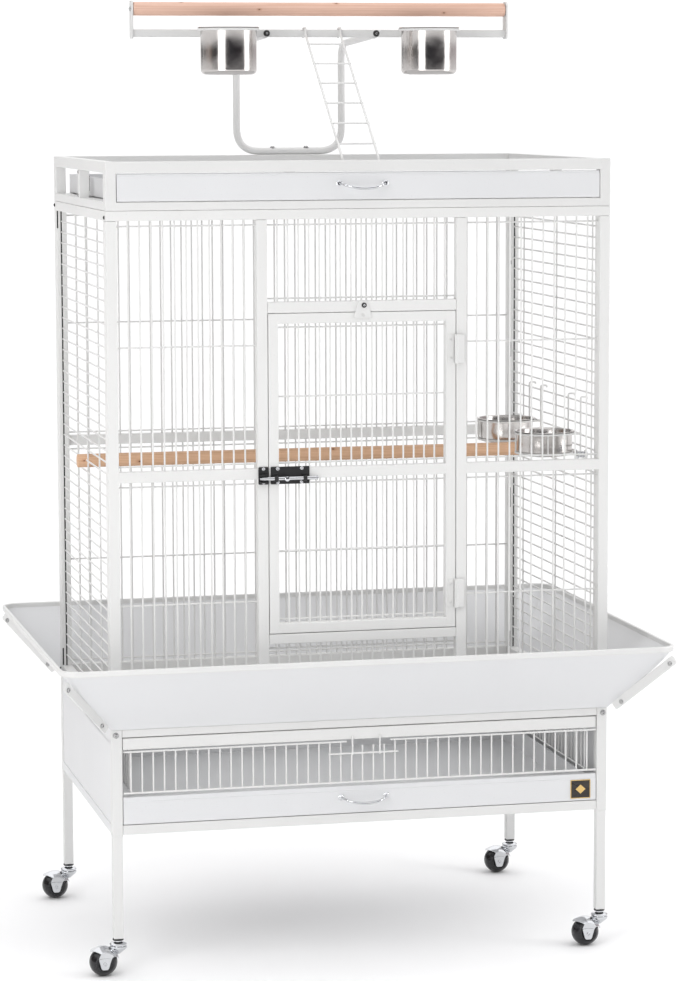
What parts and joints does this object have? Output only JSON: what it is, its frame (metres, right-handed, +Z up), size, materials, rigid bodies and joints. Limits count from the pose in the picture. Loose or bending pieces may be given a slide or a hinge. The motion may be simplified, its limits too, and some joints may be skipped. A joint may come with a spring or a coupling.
{
  "type": "bird cage on stand",
  "caption": "Play-top wire bird cage on a wheeled stand, with a hinged door, pull-out trays and floor grate, a seed guard, feeding cups, perches and a ladder.",
  "frame": {"origin": "on the floor, under the middle of the cage", "axes": "+Z up, +X to the right seen from the front, the front with the door faces -Y"},
  "size_m": [1.118, 0.814, 1.725],
  "materials": {
    "powder_coat": "satin",
    "pine": "bare sanded pine",
    "stainless": "polished",
    "chrome": "polished",
    "black_steel": "semi-gloss",
    "black_plastic": "gloss"
  },
  "bodies": {
    "frame": {"leg_front_left": "powder_coat", "leg_front_right": "powder_coat", "leg_back_left": "powder_coat", "leg_back_right": "powder_coat", "stand_side_left": "powder_coat", "stand_side_right": "powder_coat", "stand_back_panel": "powder_coat", "stand_lower_rail": "powder_coat", "stand_upper_rail": "powder_coat", "apron_front": "powder_coat", "apron_back": "powder_coat", "apron_left": "powder_coat", "apron_right": "powder_coat", "front_section_left": "powder_coat", "front_section_right": "powder_coat", "side_wall_left": "powder_coat", "side_wall_right": "powder_coat", "panel_under_door": "powder_coat", "front_top_rail": "powder_coat", "back_wall": "powder_coat", "roof_grille": "powder_coat", "hinge_upper": "powder_coat", "hinge_lower": "powder_coat", "box_front": "powder_coat", "box_back": "powder_coat", "box_left": "powder_coat", "box_right": "powder_coat", "hoop": "powder_coat", "play_bar": "powder_coat", "top_cup_holder_left": "powder_coat", "top_cup_holder_right": "powder_coat", "inner_cup_holder_rear": "powder_coat", "inner_cup_holder_front": "powder_coat", "top_perch": "pine", "inner_perch": "pine", "latch_keeper": "black_steel"},
    "door": {"door": "powder_coat", "latch_base": "black_steel"},
    "latch_bolt": {"latch_bolt": "chrome"},
    "turn_tab": {"turn_tab": "powder_coat"},
    "lower_drawer": {"lower_drawer": "powder_coat", "lower_drawer_pan": "powder_coat", "lower_drawer_handle": "chrome"},
    "upper_drawer": {"upper_drawer": "powder_coat", "upper_drawer_handle": "chrome"},
    "floor_grate": {"grate_bar": "powder_coat", "floor_grate": "powder_coat"},
    "top_cup_left": {"top_cup_left": "stainless"},
    "top_cup_right": {"top_cup_right": "stainless"},
    "inner_cup_rear": {"inner_cup_rear": "stainless"},
    "inner_cup_front": {"inner_cup_front": "stainless"},
    "ladder": {"ladder": "powder_coat"},
    "caster_hood_front_left": {"caster_hood_front_left": "chrome"},
    "caster_ball_front_left": {"caster_ball_front_left": "black_plastic"},
    "caster_hood_front_right": {"caster_hood_front_right": "chrome"},
    "caster_ball_front_right": {"caster_ball_front_right": "black_plastic"},
    "caster_hood_back_left": {"caster_hood_back_left": "chrome"},
    "caster_ball_back_left": {"caster_ball_back_left": "black_plastic"},
    "caster_hood_back_right": {"caster_hood_back_right": "chrome"},
    "caster_ball_back_right": {"caster_ball_back_right": "black_plastic"}
  },
  "joints": [
    {"name": "door_hinge", "type": "hinge", "parent": "frame", "child": "door", "pos_m": [0.1711, -0.31, 0.8877], "axis": [0, 0, 1], "range_deg": [0, 165]},
    {"name": "latch_slide", "type": "slide", "parent": "door", "child": "latch_bolt", "axis": [1, 0, 0], "range_m": [0, 0.022]},
    {"name": "tab_turn", "type": "hinge", "parent": "door", "child": "turn_tab", "pos_m": [0, -0.308, 1.167], "axis": [0, 1, 0], "range_deg": [-95, 95]},
    {"name": "lower_drawer_slide", "type": "slide", "parent": "frame", "child": "lower_drawer", "axis": [0, -1, 0], "range_m": [0, 0.45]},
    {"name": "upper_drawer_slide", "type": "slide", "parent": "frame", "child": "upper_drawer", "axis": [0, -1, 0], "range_m": [0, 0.45]},
    {"name": "grate_slide", "type": "slide", "parent": "frame", "child": "floor_grate", "axis": [0, -1, 0], "range_m": [0, 0.45]},
    {"name": "top_cup_left_lift", "type": "slide", "parent": "frame", "child": "top_cup_left", "axis": [0, 0, 1], "range_m": [0, 0.1]},
    {"name": "top_cup_right_lift", "type": "slide", "parent": "frame", "child": "top_cup_right", "axis": [0, 0, 1], "range_m": [0, 0.1]},
    {"name": "inner_cup_rear_lift", "type": "slide", "parent": "frame", "child": "inner_cup_rear", "axis": [0, 0, 1], "range_m": [0, 0.06]},
    {"name": "inner_cup_front_lift", "type": "slide", "parent": "frame", "child": "inner_cup_front", "axis": [0, 0, 1], "range_m": [0, 0.06]},
    {"name": "ladder_lift", "type": "slide", "parent": "frame", "child": "ladder", "axis": [0, 0, 1], "range_m": [0, 0.016]},
    {"name": "swivel_front_left", "type": "hinge", "parent": "frame", "child": "caster_hood_front_left", "pos_m": [-0.4475, -0.2955, 0.06], "axis": [0, 0, 1], "continuous": true},
    {"name": "roll_front_left", "type": "hinge", "parent": "caster_hood_front_left", "child": "caster_ball_front_left", "pos_m": [-0.4745, -0.2955, 0.025], "axis": [0, 1, 0], "continuous": true},
    {"name": "swivel_front_right", "type": "hinge", "parent": "frame", "child": "caster_hood_front_right", "pos_m": [0.4475, -0.2955, 0.06], "axis": [0, 0, 1], "continuous": true},
    {"name": "roll_front_right", "type": "hinge", "parent": "caster_hood_front_right", "child": "caster_ball_front_right", "pos_m": [0.4205, -0.2955, 0.025], "axis": [0, 1, 0], "continuous": true},
    {"name": "swivel_back_left", "type": "hinge", "parent": "frame", "child": "caster_hood_back_left", "pos_m": [-0.4475, 0.2955, 0.06], "axis": [0, 0, 1], "continuous": true},
    {"name": "roll_back_left", "type": "hinge", "parent": "caster_hood_back_left", "child": "caster_ball_back_left", "pos_m": [-0.4745, 0.2955, 0.025], "axis": [0, 1, 0], "continuous": true},
    {"name": "swivel_back_right", "type": "hinge", "parent": "frame", "child": "caster_hood_back_right", "pos_m": [0.4475, 0.2955, 0.06], "axis": [0, 0, 1], "continuous": true},
    {"name": "roll_back_right", "type": "hinge", "parent": "caster_hood_back_right", "child": "caster_ball_back_right", "pos_m": [0.4205, 0.2955, 0.025], "axis": [0, 1, 0], "continuous": true}
  ]
}
